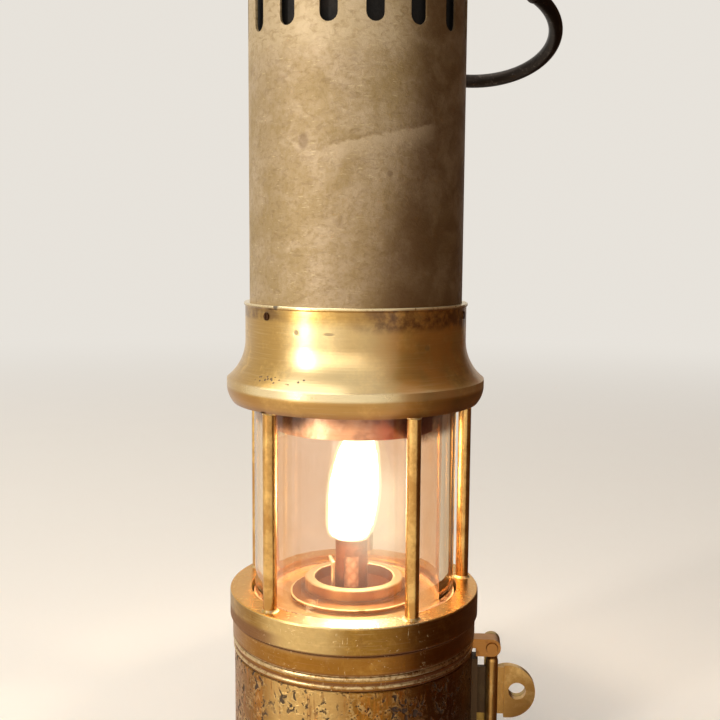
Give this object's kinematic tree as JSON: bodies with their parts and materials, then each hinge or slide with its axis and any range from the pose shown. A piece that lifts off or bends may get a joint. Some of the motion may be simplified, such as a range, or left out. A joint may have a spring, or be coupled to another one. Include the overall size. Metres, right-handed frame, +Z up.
{
  "type": "miners lamp",
  "caption": "Bonneted miner's oil safety lamp: brass oil vessel, burner under a pillared glass, flared collar, tall slotted bonnet, swivel hook and a hasp for a lead rivet.",
  "frame": {"origin": "centre of the flat base, on the lamp's axis", "axes": "+Z up the lamp's axis, -Y towards the viewer of the picture, +X towards the lock"},
  "size_m": [0.1179, 0.1348, 0.289],
  "materials": {
    "vessel_brass": "aged, pitted and lacquered by heat",
    "frame_brass": "aged, rubbed bright on the edges",
    "burner_brass": "heat-darkened",
    "pillar_brass": "drawn rod, dull gold",
    "lock_brass": "dull, handled",
    "bonnet_steel": "tinned sheet, tarnished beige-grey",
    "dark_iron": "black forged iron, waxed",
    "pricker_wire": "bright drawn wire",
    "wire_gauze": "woven wire, sooty",
    "lamp_glass": "clear, slightly streaked",
    "leather": "oiled washer leather",
    "wick_cotton": "woven cotton, charred at the tip"
  },
  "bodies": {
    "vessel": {"oil_vessel": "vessel_brass", "vessel_base": "vessel_brass", "vessel_neck": "vessel_brass", "burner_flange": "burner_brass", "burner_cup": "burner_brass", "wick_tube": "burner_brass", "wick": "wick_cotton", "pricker_tube": "burner_brass", "vessel_ear": "lock_brass", "lower_glass_washer": "leather"},
    "pricker_knob": {"pricker_knob": "burner_brass"},
    "pricker": {"pricker_rod": "pricker_wire"},
    "glass_stack": {"lamp_glass": "lamp_glass", "upper_glass_washer": "leather", "gauze_ring": "burner_brass", "outer_gauze": "wire_gauze", "inner_gauze": "wire_gauze"},
    "frame": {"lower_frame_ring": "frame_brass", "pillar_1": "pillar_brass", "pillar_2": "pillar_brass", "pillar_3": "pillar_brass", "pillar_4": "pillar_brass", "pillar_5": "pillar_brass", "shield_collar": "frame_brass", "bonnet_tube": "bonnet_steel", "bonnet_crown": "bonnet_steel", "bonnet_screws": "frame_brass", "hasp_lug": "lock_brass", "hasp_pin": "lock_brass"},
    "hasp": {"hasp": "lock_brass"},
    "swivel": {"swivel_eye": "dark_iron", "swivel_washer": "dark_iron", "swivel_nut": "dark_iron"},
    "hook": {"hook": "dark_iron"}
  },
  "joints": [
    {"name": "frame_turn", "type": "hinge", "parent": "vessel", "child": "glass_stack", "pos_m": [0, 0, 0.05], "axis": [0, 0, 1], "range_deg": [0, 300]},
    {"name": "frame_rise", "type": "slide", "parent": "glass_stack", "child": "frame", "axis": [0, 0, 1], "range_m": [0, 0.0017]},
    {"name": "hasp_swing", "type": "hinge", "parent": "frame", "child": "hasp", "pos_m": [0.04632, -0.00064, 0.0371], "axis": [-0.0872, -0.9962, 0], "range_deg": [0, 120]},
    {"name": "hook_swivel", "type": "hinge", "parent": "frame", "child": "swivel", "pos_m": [0, 0, 0.2691], "axis": [0, 0, 1], "continuous": true},
    {"name": "hook_fold", "type": "hinge", "parent": "swivel", "child": "hook", "pos_m": [0, 0, 0.2811], "axis": [0.9839, -0.1788, 0], "range_deg": [0, 230]},
    {"name": "pricker_slide", "type": "slide", "parent": "vessel", "child": "pricker_knob", "axis": [0, 0, 1], "range_m": [0, 0.01]},
    {"name": "pricker_turn", "type": "hinge", "parent": "pricker_knob", "child": "pricker", "pos_m": [-0.0069, -0.0076, 0.06], "axis": [0, 0, 1], "range_deg": [0, 260]}
  ],
  "couplings": [
    {"joint": "frame_rise", "follows": "frame_turn", "m_per_rad": 0.00031831}
  ]
}
